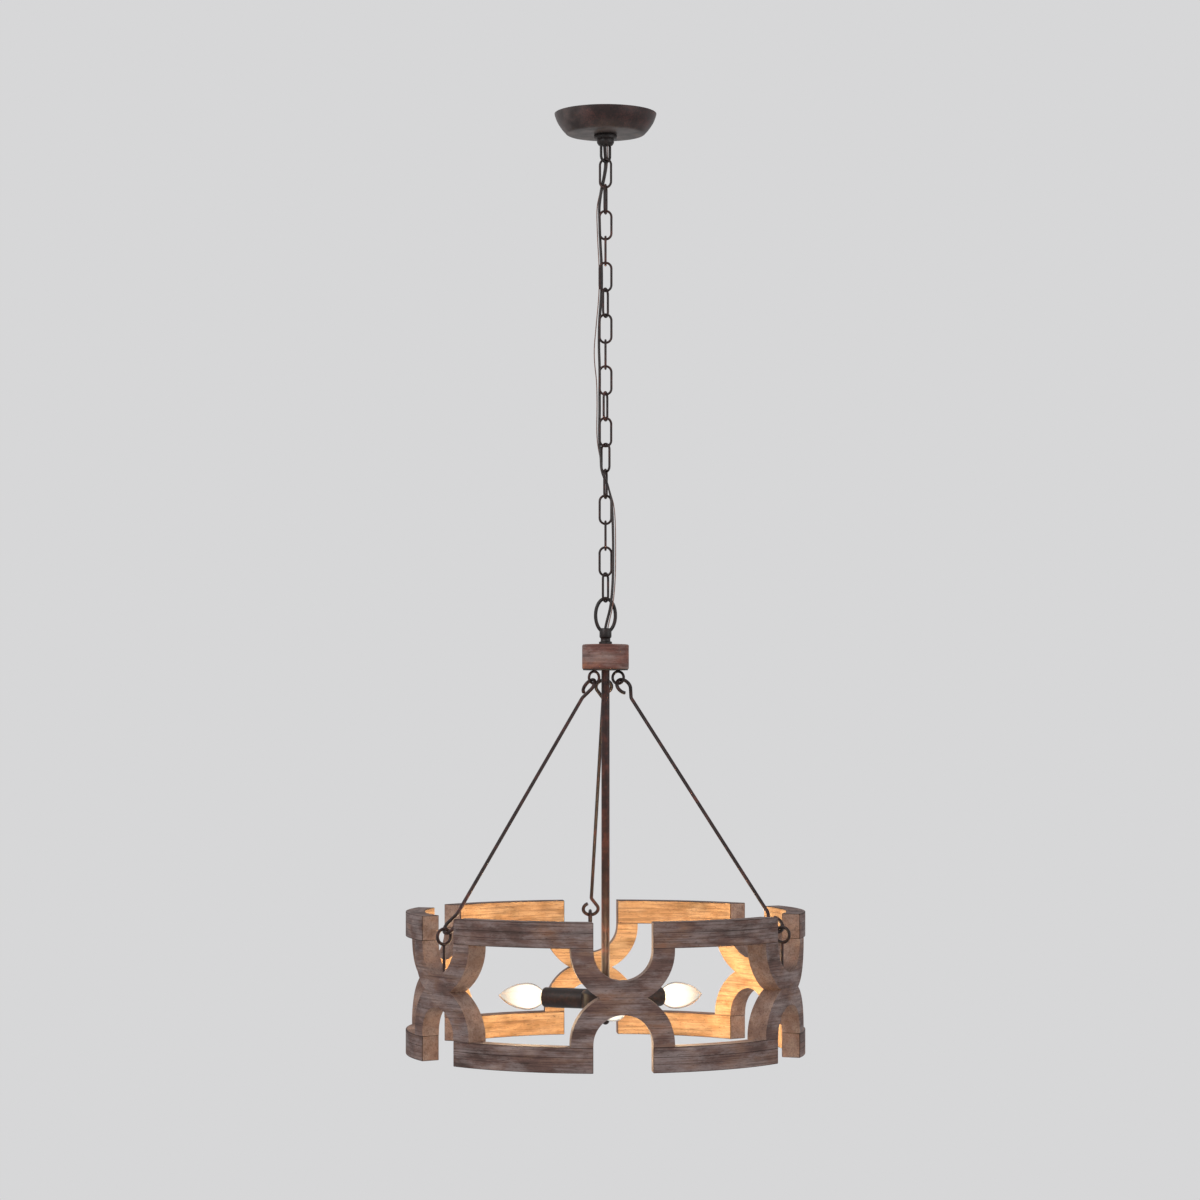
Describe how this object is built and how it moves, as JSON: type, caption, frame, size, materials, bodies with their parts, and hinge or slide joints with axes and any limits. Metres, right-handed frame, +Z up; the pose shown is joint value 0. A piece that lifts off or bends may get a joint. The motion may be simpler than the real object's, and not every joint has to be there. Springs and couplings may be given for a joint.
{
  "type": "chandelier",
  "caption": "Chain-hung chandelier: a round wooden ring of lattice crosses hung on angled wire rods about a central stem with candle lamps, under a spun ceiling canopy.",
  "frame": {"origin": "centre of the ceiling bracket's top face, in the ceiling plane on the hanging axis", "axes": "+Z up to the ceiling, -Y towards the front lamp, +X to the right seen from the front"},
  "size_m": [0.508, 0.508, 1.1945],
  "materials": {
    "rust_bronze": "rough rust-brown paint",
    "weathered_wood": "weathered, brushed and greyed",
    "zinc_steel": "zinc plated",
    "cord_jacket": "matt brown lamp cord",
    "earth_wire": "clear jacket over copper",
    "socket_black": "moulded",
    "bulb_glass": "clear candle glass"
  },
  "bodies": {
    "ceiling_mount": {"ceiling_bracket": "zinc_steel", "threaded_nipple": "zinc_steel", "nipple_nut": "zinc_steel", "collar_loop": "rust_bronze", "power_cord": "cord_jacket", "ground_wire": "earth_wire"},
    "canopy": {"canopy": "rust_bronze", "collar_ring": "rust_bronze"},
    "link_01": {"chain_link_01": "rust_bronze"},
    "link_02": {"chain_link_02": "rust_bronze"},
    "link_03": {"chain_link_03": "rust_bronze"},
    "link_04": {"chain_link_04": "rust_bronze"},
    "link_05": {"chain_link_05": "rust_bronze"},
    "link_06": {"chain_link_06": "rust_bronze"},
    "link_07": {"chain_link_07": "rust_bronze"},
    "link_08": {"chain_link_08": "rust_bronze"},
    "link_09": {"chain_link_09": "rust_bronze"},
    "link_10": {"chain_link_10": "rust_bronze"},
    "link_11": {"chain_link_11": "rust_bronze"},
    "link_12": {"chain_link_12": "rust_bronze"},
    "link_13": {"chain_link_13": "rust_bronze"},
    "link_14": {"chain_link_14": "rust_bronze"},
    "link_15": {"chain_link_15": "rust_bronze"},
    "link_16": {"chain_link_16": "rust_bronze"},
    "link_17": {"chain_link_17": "rust_bronze"},
    "fixture": {"top_loop": "rust_bronze", "loop_coupling": "rust_bronze", "hub_disc": "weathered_wood", "hub_plate": "rust_bronze", "hub_eyes": "rust_bronze", "stem": "rust_bronze", "cluster_body": "rust_bronze", "socket_sleeves": "rust_bronze", "lamp_sockets": "socket_black", "finial": "rust_bronze"},
    "ring": {"cross_1": "weathered_wood", "cross_2": "weathered_wood", "cross_3": "weathered_wood", "cross_4": "weathered_wood", "cross_5": "weathered_wood", "cross_6": "weathered_wood", "top_rail_1": "weathered_wood", "top_rail_2": "weathered_wood", "top_rail_3": "weathered_wood", "top_rail_4": "weathered_wood", "top_rail_5": "weathered_wood", "top_rail_6": "weathered_wood", "bottom_rail_1": "weathered_wood", "bottom_rail_2": "weathered_wood", "bottom_rail_3": "weathered_wood", "bottom_rail_4": "weathered_wood", "bottom_rail_5": "weathered_wood", "bottom_rail_6": "weathered_wood", "ring_eyes": "rust_bronze"},
    "rod_left": {"rod_left": "rust_bronze"},
    "rod_right": {"rod_right": "rust_bronze"},
    "rod_back": {"rod_back": "rust_bronze"},
    "bulb_front": {"bulb_front": "bulb_glass"},
    "bulb_right": {"bulb_right": "bulb_glass"},
    "bulb_left": {"bulb_left": "bulb_glass"}
  },
  "joints": [
    {"name": "canopy_slide", "type": "slide", "parent": "ceiling_mount", "child": "canopy", "axis": [0, 0, -1], "range_m": [0, 0.017]},
    {"name": "link_01_swing", "type": "hinge", "parent": "ceiling_mount", "child": "link_01", "pos_m": [0, 0, -0.06096], "axis": [0.7431, 0.6691, 0], "range_deg": [-8, 8], "deforming": ["power_cord", "ground_wire"]},
    {"name": "link_02_swing", "type": "hinge", "parent": "link_01", "child": "link_02", "pos_m": [0, 0, -0.09367], "axis": [0.9397, -0.342, 0], "range_deg": [-8, 8]},
    {"name": "link_03_swing", "type": "hinge", "parent": "link_02", "child": "link_03", "pos_m": [0, 0, -0.12663], "axis": [0.1736, 0.9848, 0], "range_deg": [-8, 8]},
    {"name": "link_04_swing", "type": "hinge", "parent": "link_03", "child": "link_04", "pos_m": [0, 0, -0.15959], "axis": [1, 0, 0], "range_deg": [-8, 8]},
    {"name": "link_05_swing", "type": "hinge", "parent": "link_04", "child": "link_05", "pos_m": [0, 0, -0.19255], "axis": [0, 1, 0], "range_deg": [-8, 8]},
    {"name": "link_06_swing", "type": "hinge", "parent": "link_05", "child": "link_06", "pos_m": [0, 0, -0.22551], "axis": [1, 0, 0], "range_deg": [-8, 8]},
    {"name": "link_07_swing", "type": "hinge", "parent": "link_06", "child": "link_07", "pos_m": [0, 0, -0.25847], "axis": [0.4067, 0.9135, 0], "range_deg": [-8, 8]},
    {"name": "link_08_swing", "type": "hinge", "parent": "link_07", "child": "link_08", "pos_m": [0, 0, -0.29143], "axis": [1, 0, 0], "range_deg": [-8, 8]},
    {"name": "link_09_swing", "type": "hinge", "parent": "link_08", "child": "link_09", "pos_m": [0, 0, -0.32439], "axis": [0, 1, 0], "range_deg": [-8, 8]},
    {"name": "link_10_swing", "type": "hinge", "parent": "link_09", "child": "link_10", "pos_m": [0, 0, -0.35735], "axis": [1, 0, 0], "range_deg": [-8, 8]},
    {"name": "link_11_swing", "type": "hinge", "parent": "link_10", "child": "link_11", "pos_m": [0, 0, -0.39031], "axis": [0.309, 0.9511, 0], "range_deg": [-8, 8]},
    {"name": "link_12_swing", "type": "hinge", "parent": "link_11", "child": "link_12", "pos_m": [0, 0, -0.42327], "axis": [0.9659, 0.2588, 0], "range_deg": [-8, 8]},
    {"name": "link_13_swing", "type": "hinge", "parent": "link_12", "child": "link_13", "pos_m": [0, 0, -0.45623], "axis": [0.6691, -0.7431, 0], "range_deg": [-8, 8]},
    {"name": "link_14_swing", "type": "hinge", "parent": "link_13", "child": "link_14", "pos_m": [0, 0, -0.48919], "axis": [0.2079, 0.9781, 0], "range_deg": [-8, 8]},
    {"name": "link_15_swing", "type": "hinge", "parent": "link_14", "child": "link_15", "pos_m": [0, 0, -0.52215], "axis": [0.9848, 0.1736, 0], "range_deg": [-8, 8]},
    {"name": "link_16_swing", "type": "hinge", "parent": "link_15", "child": "link_16", "pos_m": [0, 0, -0.55511], "axis": [0, 1, 0], "range_deg": [-8, 8]},
    {"name": "link_17_swing", "type": "hinge", "parent": "link_16", "child": "link_17", "pos_m": [0, 0, -0.58807], "axis": [1, 0, 0], "range_deg": [-8, 8]},
    {"name": "fixture_swing", "type": "hinge", "parent": "link_17", "child": "fixture", "pos_m": [0, 0, -0.62103], "axis": [0.4384, 0.8988, 0], "range_deg": [-8, 8]},
    {"name": "ring_twist", "type": "hinge", "parent": "fixture", "child": "ring", "pos_m": [0, 0, -1.10448], "axis": [0, 0, 1], "range_deg": [-6, 6]},
    {"name": "rod_left_swivel", "type": "hinge", "parent": "fixture", "child": "rod_left", "pos_m": [-0.01625, -0.01129, -0.72089], "axis": [0, 0, 1], "range_deg": [-6.7, 6.7]},
    {"name": "rod_right_swivel", "type": "hinge", "parent": "fixture", "child": "rod_right", "pos_m": [0.0179, -0.00842, -0.72089], "axis": [0, 0, 1], "range_deg": [-6.7, 6.7]},
    {"name": "rod_back_swivel", "type": "hinge", "parent": "fixture", "child": "rod_back", "pos_m": [-0.00166, 0.01972, -0.72089], "axis": [0, 0, 1], "range_deg": [-6.7, 6.7]},
    {"name": "bulb_front_out", "type": "slide", "parent": "fixture", "child": "bulb_front", "axis": [0.0837, -0.9965, 0], "range_m": [0, 0.045]},
    {"name": "bulb_right_out", "type": "slide", "parent": "fixture", "child": "bulb_right", "axis": [0.8211, 0.5707, 0], "range_m": [0, 0.045]},
    {"name": "bulb_left_out", "type": "slide", "parent": "fixture", "child": "bulb_left", "axis": [-0.9048, 0.4258, 0], "range_m": [0, 0.045]}
  ],
  "couplings": [
    {"joint": "rod_left_swivel", "follows": "ring_twist", "ratio": 1.0902},
    {"joint": "rod_right_swivel", "follows": "ring_twist", "ratio": 1.0902},
    {"joint": "rod_back_swivel", "follows": "ring_twist", "ratio": 1.0902}
  ]
}
